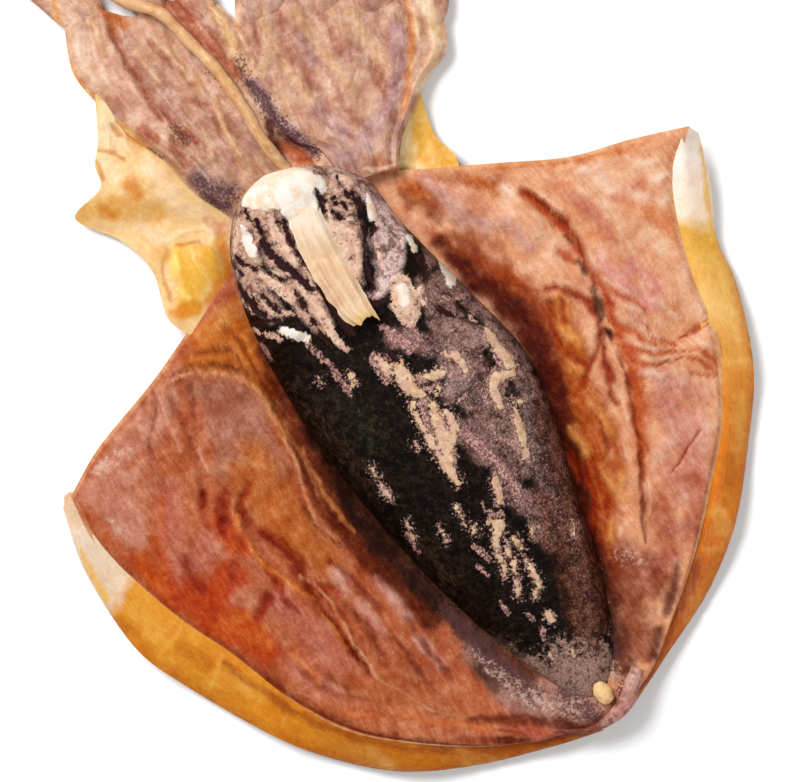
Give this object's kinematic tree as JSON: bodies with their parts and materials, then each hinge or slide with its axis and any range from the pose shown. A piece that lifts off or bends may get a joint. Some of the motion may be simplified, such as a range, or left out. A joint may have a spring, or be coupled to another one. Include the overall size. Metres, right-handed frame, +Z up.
{
  "type": "dried cuttlefish",
  "caption": "Dried cuttlefish, split open and pressed flat: broad mantle with folded lobes and thin fins, raised ink-coated middle, opened head with tapering arms.",
  "frame": {"origin": "centre of the flat patch on the underside, below the body axis, that the animal rests on", "axes": "+X to the animal's right-hand lobe in the picture, +Y along the body axis to the head, +Z up, out of the opened inner side"},
  "size_m": [0.1512, 0.2031, 0.0182],
  "materials": {
    "cured_flesh": "satin"
  },
  "bodies": {
    "root": {"dried_cuttlefish": "cured_flesh"}
  },
  "joints": []
}
